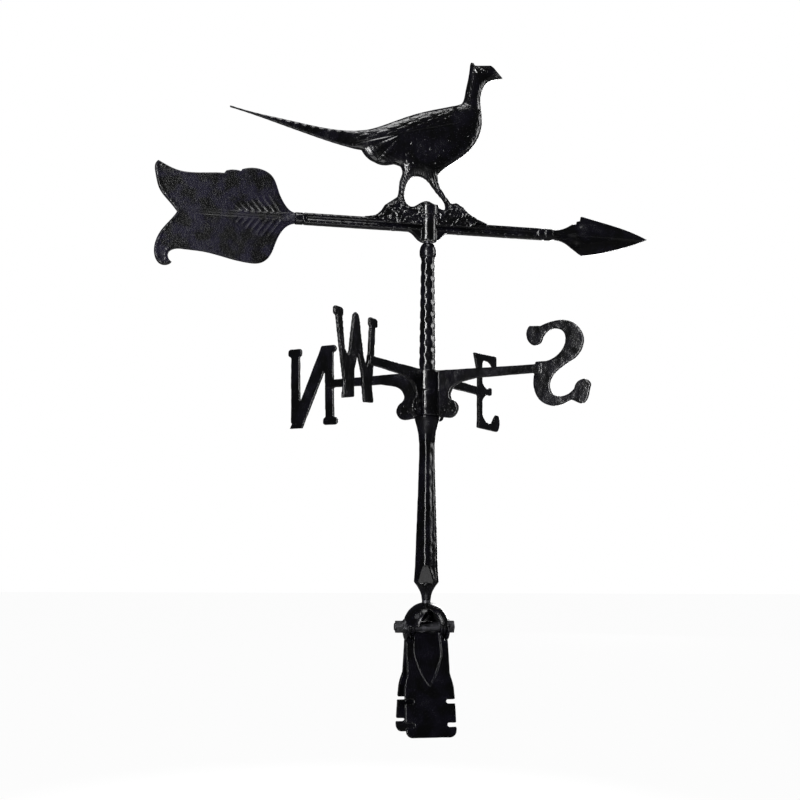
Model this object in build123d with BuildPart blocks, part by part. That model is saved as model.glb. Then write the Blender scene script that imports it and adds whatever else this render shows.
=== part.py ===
"""Weather vane: a pheasant on an arrow, turning on a rod above compass letters and a two-legged roof mount.

Millimetres.  +Z up on the rod's axis, +X towards the arrow's tip, origin on the ridge under the rod's axis.
"""
import os
from math import cos, radians, sin

from build123d import *

os.makedirs("parts", exist_ok=True)

# ---------------------------------------------------------------- driving dimensions
# rod and the running fit of the vane
rod_r = 4.75                 # 3/8 in steel rod
rod_clear = 0.10             # castings slipped over the rod
running_clear = 0.05         # bearing sleeve on the rod
hair = 0.3                   # gap between faces that turn past each other

# roof mount
pivot_z = 115.0              # pivot bolt above the ridge
splay = 14.0                 # each leg from the vertical, as stored
dome_proud = 1.2             # dome beyond the flat cheeks, before they are cut
dome_rise = 1.5              # dome centre above the pivot bolt
dome_wall = 3.5
head_half = 23.8             # half width across the flat cheeks
cheek_wall = 2.6
cheek_r = 14.5               # round lower edge of a cheek, about the bolt
arch_half = 12.4             # pointed arches front and back
arch_rise = 19.0
ear_t = 3.1
ear_r = 10.0
ear_gap = 0.2                # between the leaves of the pivot
bolt_r = 4.0
bolt_clear = 0.15
socket_r = 8.0               # boss inside the dome that takes the rod
mast_screw_angle = -128.0    # set screws: degrees from +X
collar_screw_angle = -101.0
clamp_tube_r = 5.5
leg_t = 5.0
strap_half = 23.3
foot_half = 27.3
foot_corner = 7.0
panel_t = 1.6                # leaf-shaped panel let into each leg
panel_clear = 0.7            # panel below the clamp tube
slot_w = 4.6                 # open-ended screw slots in the feet
slot_depth = 9.5
slot_spacing = 24.5
slot_end = 13.0              # lower slot above the foot's end
washer_t = 1.5
washer_r = 8.0
lock_t = 2.0
lock_r = 6.6
nut_t = 6.6
bolt_head_t = 5.3
hex_flats = 12.7
thread_proud = 1.5

# post between mount and letters, and tube between letters and vane
post_length = 205.0
post_top_r = 14.5
post_waist_r = 8.6
post_foot_r = 13.75
tube_length = 147.0
tube_top_r = 7.8
tube_foot_r = 9.3
tube_cap_r = 9.7
tube_cap_h = 17.0

# compass letters
hub_r = 15.0
low_hub_h = 28.0             # east-west casting
high_hub_h = 23.0            # north-south casting
north_angle = 139.0          # degrees from +X, as stored
letter_radius = 157.0
letter_scale = 1.0
letter_t = 3.0
arm_t = 5.0
arm_h = 9.0
web_gap = 0.2
lobe_r = 10.5
set_screw_r = 2.5

# vane
vane_gap = 2.5               # daylight between the tube's cap and the vane's hub
vane_hub_r = 10.0
vane_hub_h = 40.0
bearing_r = 6.5
bearing_h = 25.0
ball_r = 4.0
arrow_drop = 17.0            # hub's lower end below the arrow's centre line
shaft_h = 13.0
shaft_t = 11.0
shaft_back = 152.5           # from the axis to the tail's shoulder
shaft_front = 147.5          # from the axis to the head's shoulder
ring_r = 6.9
tenon_r = 3.5
tenon_l = 15.0
pin_r = 1.25
feather_t = 4.0
quill_t = 8.0
figure_scale = 1.0
figure_screw_r = 2.0
figure_screw_head_r = 3.4
figure_screw_x = (-40.0, 36.0)

# ---------------------------------------------------------------- levels that follow
dome_r = head_half + dome_proud
dome_z = pivot_z + dome_rise
dome_top = dome_z + dome_r
post_top = dome_top + post_length
hub_seam = post_top + low_hub_h
hub_top = hub_seam + high_hub_h
tube_top = hub_top + tube_length
vane_z = tube_top + vane_gap
arrow_z = vane_z + arrow_drop
arm_z = hub_top - 6.0
socket_z = pivot_z + clamp_tube_r + hair
panel_top = clamp_tube_r + panel_clear              # below the pivot bolt
rod_bore = rod_r + rod_clear
ball_z = vane_z + bearing_h + 2.0 + ball_r
rod_top = ball_z - ball_r - running_clear
ear_out = head_half - cheek_wall - ear_gap          # outer face of the outer ears
ear_mid = ear_out - ear_t - ear_gap                 # outer face of the inner ears
ear_in = ear_mid - ear_t
shoulder = cheek_r + 0.6                            # the strap starts clear of the cheeks
leg_end = (pivot_z - leg_t / 2 * sin(radians(splay))) / cos(radians(splay))
north, east = north_angle, north_angle - 90.0
seat_left = -head_half                              # nut side
seat_right = head_half                              # bolt head side


def radial(angle, z=0.0):
    """Upright plane through the axis: local x outwards along angle, local y up."""
    a = radians(angle)
    return Plane(origin=(0, 0, z), x_dir=(cos(a), sin(a), 0), z_dir=(sin(a), -cos(a), 0))


def outward(angle, z, start=0.0):
    """Plane square to a radius: its normal points outwards along angle."""
    a = radians(angle)
    ahead = (cos(a), sin(a), 0)
    across = (-ahead[1], ahead[0], 0)
    return Plane(origin=(start * ahead[0], start * ahead[1], z), x_dir=across, z_dir=ahead)


side = Plane(origin=(0, 0, 0), x_dir=(0, 1, 0), z_dir=(1, 0, 0))     # looks along the pivot bolt


def finish(part, name):
    part.label = name
    export_step(part, f"parts/{name}.step")
    print(f"{name:28s} solids {len(part.solids()):2d}  volume {part.volume / 1000:8.2f} cm3")


# ================================================================ roof mount
# outer limits of the mount head: above the bolt it stays within the dome, and flats cut both sides
with BuildPart() as head_limits:
    with Locations((0, 0, dome_z)):
        Sphere(dome_r, rotation=(0, 0, 40))
        Box(2 * dome_r, 2 * dome_r, 2 * dome_r, align=(Align.CENTER, Align.CENTER, Align.MAX))
        Box(2 * head_half, 4 * dome_r, 4 * dome_r, mode=Mode.INTERSECT)

# mount head: hollow dome with a pointed arch front and back, two cheeks for the bolt, a socket for the rod
mast_screw_z = socket_z + 6.0
mast_screw_end = (dome_r ** 2 - (mast_screw_z - dome_z) ** 2) ** 0.5
with BuildPart() as mount_head:
    with BuildSketch(radial(40)):
        with BuildLine():
            Line((0, dome_top), (0, pivot_z))
            Line((0, pivot_z), (dome_r, pivot_z))
            Line((dome_r, pivot_z), (dome_r, dome_z))
            CenterArc((0, dome_z), dome_r, 0, 90)
        make_face()
    revolve(axis=Axis.Z)
    with BuildSketch(side.offset(-head_half)):
        with Locations((0, pivot_z)):
            Circle(cheek_r)
    extrude(amount=2 * head_half)
    add(head_limits.part, mode=Mode.INTERSECT)
    # hollow inside, open below
    with Locations((0, 0, dome_z)):
        Sphere(dome_r - dome_wall, rotation=(0, 0, 40), mode=Mode.SUBTRACT)
    with BuildSketch(side.offset(-(ear_out + ear_gap))):
        with Locations((0, pivot_z)):
            Circle(ear_r + 0.6)
        with Locations((0, pivot_z - 2 * cheek_r)):
            Rectangle(2 * dome_r, 4 * cheek_r)
    extrude(amount=2 * (ear_out + ear_gap), mode=Mode.SUBTRACT)
    # pointed arches
    with BuildSketch(Plane.XZ):
        with BuildLine():
            ThreePointArc((-arch_half, pivot_z - 1), (-arch_half * 0.62, pivot_z + arch_rise * 0.62),
                          (0, pivot_z + arch_rise))
            ThreePointArc((0, pivot_z + arch_rise), (arch_half * 0.62, pivot_z + arch_rise * 0.62),
                          (arch_half, pivot_z - 1))
            Line((arch_half, pivot_z - 1), (-arch_half, pivot_z - 1))
        make_face()
    extrude(amount=2 * dome_r, both=True, mode=Mode.SUBTRACT)
    # holes for the bolt
    with BuildSketch(side.offset(-2 * dome_r)):
        with Locations((0, pivot_z)):
            Circle(bolt_r + bolt_clear)
    extrude(amount=4 * dome_r, mode=Mode.SUBTRACT)
    # socket for the rod, and the boss of its set screw
    with Locations((0, 0, socket_z)):
        Cylinder(socket_r, dome_top - dome_wall / 2 - socket_z,
                 align=(Align.CENTER, Align.CENTER, Align.MIN))
    with BuildSketch(outward(mast_screw_angle, mast_screw_z)):
        Circle(set_screw_r + 1.5)
    extrude(amount=mast_screw_end - 1.0)
    with Locations((0, 0, socket_z - 1)):
        Cylinder(rod_r + rod_clear / 2, 2 * dome_r, align=(Align.CENTER, Align.CENTER, Align.MIN),
                 mode=Mode.SUBTRACT)
    with BuildSketch(outward(mast_screw_angle, mast_screw_z)):
        Circle(set_screw_r)
    extrude(amount=2 * dome_r, mode=Mode.SUBTRACT)
finish(mount_head.part, "mount_head")


def set_screw(angle, z, tip, head):
    """Socket set screw on a radius, its point on the rod and its hex socket outwards."""
    with BuildPart() as screw:
        with BuildSketch(outward(angle, z, tip)):
            Circle(set_screw_r)
        extrude(amount=head - tip)
        with BuildSketch(outward(angle, z, head)):
            RegularPolygon(set_screw_r * 0.5, 6)
        extrude(amount=-set_screw_r, mode=Mode.SUBTRACT)
    return screw.part


finish(set_screw(mast_screw_angle, mast_screw_z, rod_r + running_clear, mast_screw_end - hair),
       "mast_set_screw")

# pivot bolt, hexagon head on the +X side, nut and washers
with BuildPart() as pivot_bolt:
    with BuildSketch(side.offset(seat_right + washer_t)):
        with Locations((0, pivot_z)):
            RegularPolygon(hex_flats / 2, 6, major_radius=False)
    extrude(amount=bolt_head_t)
    with BuildSketch(side.offset(seat_left - washer_t - lock_t - nut_t - thread_proud)):
        with Locations((0, pivot_z)):
            Circle(bolt_r)
    extrude(amount=seat_right - seat_left + 2 * washer_t + lock_t + nut_t + thread_proud + 1.0)
finish(pivot_bolt.part, "pivot_bolt")


def disc(start, thickness, outer, inner, split_gap=0.0):
    """Washer or tube on the pivot bolt, start at its -X face."""
    with BuildPart() as ring:
        with BuildSketch(side.offset(start)):
            with Locations((0, pivot_z)):
                Circle(outer)
                Circle(inner, mode=Mode.SUBTRACT)
            if split_gap:
                with Locations((outer, pivot_z)):
                    Rectangle(2 * outer, split_gap, mode=Mode.SUBTRACT)
        extrude(amount=thickness)
    return ring.part


flat_washers = Compound(children=[
    disc(seat_left - washer_t, washer_t, washer_r, bolt_r + bolt_clear),
    disc(seat_right, washer_t, washer_r, bolt_r + bolt_clear)])
finish(flat_washers, "flat_washers")
finish(disc(seat_left - washer_t - lock_t, lock_t, lock_r, bolt_r + bolt_clear, 1.2), "lock_washer")
finish(disc(-ear_in + ear_gap / 2, 2 * ear_in - ear_gap, clamp_tube_r, bolt_r + bolt_clear), "clamp_tube")

with BuildPart() as pivot_nut:
    with BuildSketch(side.offset(seat_left - washer_t - lock_t - nut_t)):
        with Locations((0, pivot_z)):
            RegularPolygon(hex_flats / 2, 6, major_radius=False)
            Circle(bolt_r, mode=Mode.SUBTRACT)
    extrude(amount=nut_t)
finish(pivot_nut.part, "pivot_nut")


def leg(front):
    """One leg: two ears on the bolt, a strap with a leaf-shaped panel let into it and a slotted foot.

    Both legs are the same casting.  The back one is turned half a turn about the rod's axis, so that each
    leg's outer ear lies outside the other's inner ear.
    """
    waist = -leg_end * 0.50                             # where the strap widens into the foot
    point = -leg_end * 0.55                             # the leaf's lower point
    with BuildPart() as casting:
        with BuildSketch(Plane.XZ):
            with BuildLine():
                Polyline((-ear_out, 0), (-ear_out, -shoulder), (-strap_half, -shoulder),
                         (-strap_half, waist + 12))
                Spline((-strap_half, waist + 12), (-strap_half - 1.2, waist + 4),
                       (-foot_half + 0.8, waist - 4), (-foot_half, waist - 14),
                       tangents=[(0, -1), (0, -1)])
                Line((-foot_half, waist - 14), (-foot_half, -leg_end + foot_corner))
                RadiusArc((-foot_half, -leg_end + foot_corner), (-foot_half + foot_corner, -leg_end),
                          -foot_corner)
                Line((-foot_half + foot_corner, -leg_end), (foot_half - foot_corner, -leg_end))
                RadiusArc((foot_half - foot_corner, -leg_end), (foot_half, -leg_end + foot_corner),
                          -foot_corner)
                Line((foot_half, -leg_end + foot_corner), (foot_half, waist - 14))
                Spline((foot_half, waist - 14), (foot_half - 0.8, waist - 4),
                       (strap_half + 1.2, waist + 4), (strap_half, waist + 12),
                       tangents=[(0, 1), (0, 1)])
                Polyline((strap_half, waist + 12), (strap_half, -shoulder), (ear_mid, -shoulder),
                         (ear_mid, 0), (-ear_out, 0))
            make_face()
            # leaf-shaped window between the ears
            with BuildLine():
                Line((-ear_in, 1), (-ear_in, -shoulder))
                Spline((-ear_in, -shoulder), (-ear_in - 0.8, -leg_end * 0.22),
                       (-ear_in * 0.8, -leg_end * 0.36), (0, point), tangents=[(0, -1), (0.75, -1)])
                Spline((0, point), (ear_in * 0.8, -leg_end * 0.36),
                       (ear_in + 0.8, -leg_end * 0.22), (ear_in, -shoulder), tangents=[(0.75, 1), (0, 1)])
                Polyline((ear_in, -shoulder), (ear_in, 1), (-ear_in, 1))
            make_face(mode=Mode.SUBTRACT)
            # room for the other leg's inner ear, beside the outer one on the left
            with Locations((-ear_mid - ear_gap / 2 + ear_t / 2, 0)):
                Rectangle(ear_t + ear_gap, 2 * shoulder, mode=Mode.SUBTRACT)
            # screw slots, open at the edges
            for sx in (-1, 1):
                for row in (0, 1):
                    slot_z = -leg_end + slot_end + row * slot_spacing
                    with Locations((sx * foot_half, slot_z)):
                        Rectangle(2 * slot_depth - slot_w, slot_w, mode=Mode.SUBTRACT)
                    with Locations((sx * (foot_half - slot_depth + slot_w / 2), slot_z)):
                        Circle(slot_w / 2, mode=Mode.SUBTRACT)
        extrude(amount=leg_t / 2, both=True)
        # the panel closes the window from just below the clamp tube
        with BuildSketch(Plane.XZ):
            with Locations((0, (point - shoulder) / 2)):
                Rectangle(2 * ear_in + 4, -point - shoulder)
            with Locations((0, -(panel_top + shoulder) / 2)):
                Rectangle(2 * (ear_in - hair), shoulder - panel_top + 1.0)
        extrude(amount=panel_t / 2, both=True)
        for start in (-ear_out, ear_in):
            with BuildSketch(side.offset(start)):
                Circle(ear_r)
            extrude(amount=ear_t)
        with BuildSketch(side.offset(-ear_out - 1)):
            Circle(bolt_r + bolt_clear)
        extrude(amount=2 * ear_out + 2, mode=Mode.SUBTRACT)
    placed = Pos(0, 0, pivot_z) * Rot(-splay, 0, 0) * casting.part
    return placed if front else Rot(0, 0, 180) * placed


finish(leg(True), "front_leg")
finish(leg(False), "back_leg")

# ================================================================ post, letters and tube on the rod
with BuildPart() as spindle_rod:
    with BuildSketch(Plane.XY.offset(socket_z)):
        Circle(rod_r)
    extrude(amount=rod_top - socket_z)
    chamfer(spindle_rod.edges().group_by(Axis.Z)[-1], 1.0)
finish(spindle_rod.part, "spindle_rod")

# lower post: turned and hammered, widening downwards, with a collar under the letters
collar_screw_z = post_top - 5.0
with BuildPart() as lower_post:
    with BuildSketch(Plane.XZ):
        with BuildLine():
            Line((rod_bore, post_top), (rod_bore, dome_top))
            Spline((rod_bore, dome_top), (rod_bore + 0.6, dome_top + 6),
            (rod_bore + 3.4, dome_top + 12.5),
                   (post_foot_r, dome_top + 19.5))
            Spline((post_foot_r, dome_top + 19.5), (post_foot_r - 1.1, dome_top + 34),
                   (post_waist_r, post_top - 42))
            Spline((post_waist_r, post_top - 42), (post_waist_r + 0.2, post_top - 27),
                   (post_waist_r + 2.6, post_top - 13.5), (post_top_r - 1.0, post_top - 4.5),
                   (post_top_r, post_top))
            Line((post_top_r, post_top), (rod_bore, post_top))
        make_face()
    revolve(axis=Axis.Z)
    with BuildSketch(outward(collar_screw_angle, collar_screw_z)):
        Circle(set_screw_r)
    extrude(amount=2 * post_top_r, mode=Mode.SUBTRACT)
finish(lower_post.part, "lower_post")
finish(set_screw(collar_screw_angle, collar_screw_z, rod_r, post_top_r - 1.6), "collar_screw")


def letter_points(points):
    """Outline points of a letter, given about its centre, on its upright plane."""
    return [(letter_radius + letter_scale * u, arm_z + letter_scale * v) for u, v in points]


def letter_N(plane):
    """Two upright strokes with knobs and a broad falling stroke."""
    strokes = ([(-32, 40), (-20, 40), (-23, -44), (-34.5, -44)],
               [(15, 37), (27, 37), (25.5, -44), (12.5, -44)],
               [(-34, 46), (-16, 46), (27, -51), (9.5, -51)])
    knobs = (((-29.5, -44), (20, 9)), ((21.5, 40), (19.5, 9.5)), ((-30, 41.5), (13, 8)))
    with BuildSketch(plane) as letter:
        for outline in strokes:
            with BuildLine():
                Polyline(*letter_points(outline), close=True)
            make_face()
        for centre, size in knobs:
            with Locations(*letter_points([centre])):
                RectangleRounded(size[0] * letter_scale, size[1] * letter_scale, 3.6 * letter_scale)
    return letter.sketch


def letter_S(plane):
    """Two bowls, a block at the upper end and a flared lower end."""
    with BuildSketch(plane) as letter:
        with BuildLine():
            Spline(*letter_points([(-32.5, 47), (-32.5, 28), (-29, 25.5), (-21.5, 26), (-18, 30)]))
            Spline(*letter_points([(-18, 30), (-11, 39.5), (-3, 41.5), (5, 38.5), (8.5, 30), (5.5, 20),
                                   (-2, 12), (-14, 7.5)]))
            Polyline(*letter_points([(-14, 7.5), (-26, 7.5), (-26, -1.5)]))
            Spline(*letter_points([(-26, -1.5), (-28.5, -16), (-24, -31), (-14, -39.5), (-3, -41.5),
                                   (6, -39.5), (14, -36)]))
            Spline(*letter_points([(14, -36), (22, -39.5), (28, -40.5), (31, -38), (35, -26), (36, -19.5),
                                   (31, -15), (26, -15), (18, -24)]))
            Spline(*letter_points([(18, -24), (10, -30), (1, -31.5), (-6, -29), (-9.5, -22), (-8, -12),
                                   (-1, -4), (12, 4.5)]))
            Spline(*letter_points([(12, 4.5), (22, 11), (28, 21), (28.5, 31), (23, 41.5), (12, 49),
                                   (0, 50.5), (-10, 49), (-20, 46)]))
            Line(*letter_points([(-20, 46), (-32.5, 47)]))
        make_face()
    return letter.sketch


def letter_W(plane):
    """Four leaning strokes in two pairs, each pair on a broad foot."""
    outline = [(-38.5, 40), (-28.5, 40), (-25.5, 4), (-21, -9), (-15, 2), (-6.5, 37), (-4, 43.5),
               (1, 45), (5, 42), (12, 4), (15.5, -2), (21.5, 4), (27, 36), (38, 36), (30.5, 4),
               (22, -29), (24, -46), (2.5, -42.5), (2.3, -14), (-4, 3.5), (-12.3, -16), (-17.5, -45.5),
               (-36, -44), (-32.8, -27), (-36.6, 4)]
    knobs = (((-34.5, 40), (17.5, 9.5)), ((33.8, 40), (16.5, 9.5)))
    with BuildSketch(plane) as letter:
        with BuildLine():
            Polyline(*letter_points(outline), close=True)
        make_face()
        for centre, size in knobs:
            with Locations(*letter_points([centre])):
                RectangleRounded(size[0] * letter_scale, size[1] * letter_scale, 3.4 * letter_scale)
    return letter.sketch


def letter_E(plane):
    """A spine with three arms: the upper one ends in a wedge, the lower one turns up."""
    back = [(-27, -45), (-26, -34), (-26, 22), (-31, 33), (-37, 46), (26.5, 50), (27.5, 32)]
    upper_inside = [(27.5, 32), (21, 32), (11, 38.5), (0, 40), (-11, 38.5), (-14.5, 33)]
    upper_bay = [(-14.5, 14), (-10, 9), (10, 8.5)]
    tip = [(10, 8.5), (14, 7.5), (12.5, -1), (8, -2)]
    lower_bay = [(8, -2), (-7, -4.5), (-14.5, -12)]
    hook = [(-14.5, -26), (-9, -32.5), (6, -36.5), (16, -34), (22.5, -27), (29, -23.5), (35, -27),
            (36.5, -34), (33, -42), (27, -45)]
    with BuildSketch(plane) as letter:
        with BuildLine():
            Polyline(*letter_points(back))
            Spline(*letter_points(upper_inside))
            Line(*letter_points([upper_inside[-1], upper_bay[0]]))
            Spline(*letter_points(upper_bay))
            Polyline(*letter_points(tip))
            Spline(*letter_points(lower_bay))
            Line(*letter_points([lower_bay[-1], hook[0]]))
            Spline(*letter_points(hook))
            Line(*letter_points([hook[-1], back[0]]))
        make_face()
    return letter.sketch


def compass_casting(ring_z, ring_h, arms):
    """Hub ring with an arm, a scroll bracket and a letter each way.

    A bracket is joined to its own ring and stands clear of the other casting's.
    """
    top, low = arm_z + arm_h / 2, arm_z - arm_h / 2
    root = hub_r + web_gap
    lobe_u, lobe_z = hub_r + 13.0, post_top + 7.5
    with BuildPart() as casting:
        with Locations((0, 0, ring_z)):
            Cylinder(hub_r, ring_h, align=(Align.CENTER, Align.CENTER, Align.MIN))
        for angle, letter, reach in arms:
            end = letter_radius + letter_scale * reach
            with BuildSketch(radial(angle)):
                with BuildLine():
                    Polyline((root, hub_top), (root + 45, top + 0.8), (end, top), (end, low),
                             (root + 45, low - 1.0))
                    Spline((root + 45, low - 1.0), (root + 27, low - 4.5), (root + 16, low - 11),
                           (root + 13.5, low - 18), (lobe_u + lobe_r * 0.5, lobe_z + lobe_r * 0.866))
                    ThreePointArc((lobe_u + lobe_r * 0.5, lobe_z + lobe_r * 0.866),
                                  (lobe_u + lobe_r, lobe_z), (lobe_u, lobe_z - lobe_r))
                    Polyline((lobe_u, lobe_z - lobe_r), (root, post_top - 1.5), (root, hub_top))
                make_face()
                with Locations((root, ring_z + ring_h / 2)):
                    Rectangle(3.0 + web_gap, ring_h)
            extrude(amount=arm_t / 2, both=True)
            extrude(letter(radial(angle)), amount=letter_t / 2, both=True)
        with Locations((0, 0, ring_z - 1)):
            Cylinder(rod_bore, ring_h + 2, align=(Align.CENTER, Align.CENTER, Align.MIN),
                     mode=Mode.SUBTRACT)
        with BuildSketch(outward(north - 45.0, ring_z + ring_h / 2)):
            Circle(set_screw_r)
        extrude(amount=2 * hub_r, mode=Mode.SUBTRACT)
    return casting.part


finish(compass_casting(hub_seam, high_hub_h, ((north, letter_N, -24), (north + 180, letter_S, -20))),
       "letters_north_south")
finish(compass_casting(post_top, low_hub_h, ((east, letter_E, -20), (east + 180, letter_W, -26))),
       "letters_east_west")
finish(Compound(children=[
    set_screw(north - 45.0, post_top + low_hub_h / 2, rod_r, hub_r - 0.6),
    set_screw(north - 45.0, hub_seam + high_hub_h / 2, rod_r, hub_r - 0.6)]), "letter_screws")

# upper tube with its domed cap
with BuildPart() as upper_tube:
    with BuildSketch(Plane.XZ):
        with BuildLine():
            Line((rod_bore, tube_top), (rod_bore, hub_top))
            Line((rod_bore, hub_top), (tube_foot_r, hub_top))
            Line((tube_foot_r, hub_top), (tube_top_r, tube_top - tube_cap_h))
            Line((tube_top_r, tube_top - tube_cap_h), (tube_cap_r - 0.5, tube_top - tube_cap_h + 1))
            Spline((tube_cap_r - 0.5, tube_top - tube_cap_h + 1),
            (tube_cap_r, tube_top - tube_cap_h * 0.6),
                   (tube_cap_r * 0.86, tube_top - tube_cap_h * 0.22), (rod_bore + 0.6, tube_top))
            Line((rod_bore + 0.6, tube_top), (rod_bore, tube_top))
        make_face()
    revolve(axis=Axis.Z)
finish(upper_tube.part, "upper_tube")

# ================================================================ vane
# arrow shaft: centre casting with the hub, ring collars at both ends
with BuildPart() as arrow_shaft:
    with BuildSketch(side.offset(-shaft_back + 10)):
        with Locations((0, arrow_z)):
            RectangleRounded(shaft_t, shaft_h, 3.2)
    extrude(amount=shaft_back + shaft_front - 27)
    for start, length in ((-shaft_back, 4.0), (-shaft_back + 5.0, 3.4), (shaft_front - 17.0, 7.0),
                          (shaft_front - 8.4, 3.4), (shaft_front - 4.0, 4.0)):
        with BuildSketch(side.offset(start)):
            with Locations((0, arrow_z)):
                Circle(ring_r)
        extrude(amount=length)
    for start, length in ((-shaft_back + 0.5, 10.5), (shaft_front - 16.5, 16.0)):
        with BuildSketch(side.offset(start)):
            with Locations((0, arrow_z)):
                Circle(ring_r - 0.9)
        extrude(amount=length)
    with Locations((0, 0, vane_z)):
        Cylinder(vane_hub_r, vane_hub_h, align=(Align.CENTER, Align.CENTER, Align.MIN))
    # fairing under the shaft, each side of the hub
    with BuildSketch(Plane.XZ):
        with BuildLine():
            Spline((-27, arrow_z - shaft_h / 2 + 1), (-19, arrow_z - shaft_h / 2 - 1.5),
            (-12, vane_z + 2),
                   (-7, vane_z), tangents=[(1, -0.1), (1, -0.1)])
            Line((-7, vane_z), (7, vane_z))
            Spline((7, vane_z), (12, vane_z + 2), (19, arrow_z - shaft_h / 2 - 1.5),
                   (27, arrow_z - shaft_h / 2 + 1), tangents=[(1, 0.1), (1, 0.1)])
            Line((27, arrow_z - shaft_h / 2 + 1), (-27, arrow_z - shaft_h / 2 + 1))
        make_face()
    extrude(amount=shaft_t / 2 - 1, both=True)
    # bearing bore, ball seat, tenon bores, pin holes and figure screw holes
    with Locations((0, 0, vane_z - 1)):
        Cylinder(bearing_r, bearing_h + 1, align=(Align.CENTER, Align.CENTER, Align.MIN),
                 mode=Mode.SUBTRACT)
    with Locations((0, 0, vane_z)):
        Cylinder(rod_r + hair, ball_z - ball_r / 2 - vane_z, align=(Align.CENTER, Align.CENTER, Align.MIN),
                 mode=Mode.SUBTRACT)
        Cylinder(ball_r + running_clear, ball_z + ball_r - vane_z,
                 align=(Align.CENTER, Align.CENTER, Align.MIN), mode=Mode.SUBTRACT)
    for start in (-shaft_back, shaft_front - tenon_l):
        with BuildSketch(side.offset(start)):
            with Locations((0, arrow_z)):
                Circle(tenon_r)
        extrude(amount=tenon_l, mode=Mode.SUBTRACT)
    for x in (-shaft_back + tenon_l / 2, shaft_front - tenon_l / 2):
        with Locations((x, 0, arrow_z)):
            Cylinder(pin_r, 2 * ring_r + 2, mode=Mode.SUBTRACT)
    for x in figure_screw_x:
        with Locations((x, 0, arrow_z)):
            Cylinder(figure_screw_r, 2 * shaft_h, mode=Mode.SUBTRACT)
        with Locations((x, 0, arrow_z - shaft_h / 2)):
            Cylinder(figure_screw_head_r, 6.0, mode=Mode.SUBTRACT)
finish(arrow_shaft.part, "arrow_shaft")

with BuildPart() as bearing_sleeve:
    with BuildSketch(Plane.XY.offset(vane_z)):
        Circle(bearing_r)
        Circle(rod_r + running_clear, mode=Mode.SUBTRACT)
    extrude(amount=bearing_h)
finish(bearing_sleeve.part, "bearing_sleeve")

with BuildPart() as pivot_ball:
    with Locations((0, 0, ball_z)):
        Sphere(ball_r)
finish(pivot_ball.part, "pivot_ball")


def stub(shoulder_x, direction, length, root_r):
    """Round neck next to the shoulder, fading into the flat, and the tenon that enters the shaft."""
    with BuildPart() as piece:
        with BuildSketch(side.offset(shoulder_x)):
            with Locations((0, arrow_z)):
                Circle(root_r)
        with BuildSketch(side.offset(shoulder_x + direction * length)):
            with Locations((0, arrow_z)):
                Ellipse(feather_t / 2, root_r * 0.5)
        loft()
        with BuildSketch(side.offset(shoulder_x)):
            with Locations((0, arrow_z)):
                Circle(tenon_r)
        extrude(amount=-direction * (tenon_l - 0.5))
        with Locations((shoulder_x - direction * tenon_l / 2, 0, arrow_z)):
            Cylinder(pin_r, 4 * tenon_r, mode=Mode.SUBTRACT)
    return piece.part


# arrow tail: a flat double feather with a V-shaped end, outlines from the shoulder outwards
def tail_points(points):
    return [(-shaft_back - u, arrow_z + v) for u, v in points]


with BuildPart() as arrow_tail:
    with BuildSketch(Plane.XZ):
        with BuildLine():
            Line(*tail_points([(0, -6), (0, 6)]))
            Spline(*tail_points([(0, 6), (6, 8.5), (13, 17), (18, 27), (21, 36), (27, 47), (39, 53.5),
                                 (55, 53.5), (60, 52)]))
            Polyline(*tail_points([(60, 52), (61, 49.8)]))
            Spline(*tail_points([(61, 49.8), (69, 50.8), (77.5, 49.2)]))
            Line(*tail_points([(77.5, 49.2), (79.5, 46.2)]))
            Spline(*tail_points([(79.5, 46.2), (97, 45.4), (115, 44.3), (130, 45.8), (144, 51.5),
                                 (151.5, 55.5)]))
            Spline(*tail_points([(151.5, 55.5), (154.5, 51.5), (154, 40), (149, 23), (140, 11.5),
                                 (129.5, -1)]))
            Spline(*tail_points([(129.5, -1), (137, -11.5), (146, -23), (152, -37), (152, -52),
                                 (146, -60.5), (138, -61), (133.5, -57.5)]))
            Spline(*tail_points([(133.5, -57.5), (137.5, -53), (137, -47), (131, -43), (120, -42.7),
                                 (100, -44.2), (75, -49.5), (50, -54), (37, -53), (28, -46),
                                 (21.5, -31), (16, -18.5), (7, -8.5), (0, -6)]))
        make_face()
    extrude(amount=feather_t / 2, both=True)
    # quill along the middle
    with BuildSketch(Plane.XZ):
        with BuildLine():
            Polyline(*tail_points([(0, -5), (0, 5), (60, 3), (126, 0.5), (126, -1.5),
                                   (60, -3.5)]), close=True)
        make_face()
    extrude(amount=quill_t / 2, both=True)
    add(stub(-shaft_back, -1, 22.0, 6.0))
finish(arrow_tail.part, "arrow_tail")


# arrow head: a flat barbed head with a middle rib
def head_points(points):
    return [(shaft_front + u, arrow_z + v) for u, v in points]


with BuildPart() as arrow_head:
    with BuildSketch(Plane.XZ):
        with BuildLine():
            Line(*head_points([(0, -6), (0, 6)]))
            Spline(*head_points([(0, 6), (12, 7.2), (20, 10.8), (25, 14)]))
            Polyline(*head_points([(25, 14), (30.5, 14.6), (31.5, 18), (35.5, 19), (36.5, 24.3),
                                   (39.5, 24)]))
            Spline(*head_points([(39.5, 24), (73, 16.5), (103, 8), (118.5, 1.5)]))
            Spline(*head_points([(118.5, 1.5), (103, -5), (83, -12), (58, -19), (37, -22.8)]))
            Polyline(*head_points([(37, -22.8), (33, -20.6), (22, -12.8)]))
            Spline(*head_points([(22, -12.8), (12, -7), (0, -6)]))
        make_face()
    extrude(amount=feather_t / 2, both=True)
    with BuildSketch(Plane.XZ):
        with BuildLine():
            Polyline(*head_points([(0, -5), (0, 5), (60, 4), (106, 1.8), (106, 0.8),
                                   (60, -1.5)]), close=True)
        make_face()
    extrude(amount=quill_t / 2, both=True)
    add(stub(shaft_front, 1, 24.0, 6.0))
finish(arrow_head.part, "arrow_head")

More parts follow.
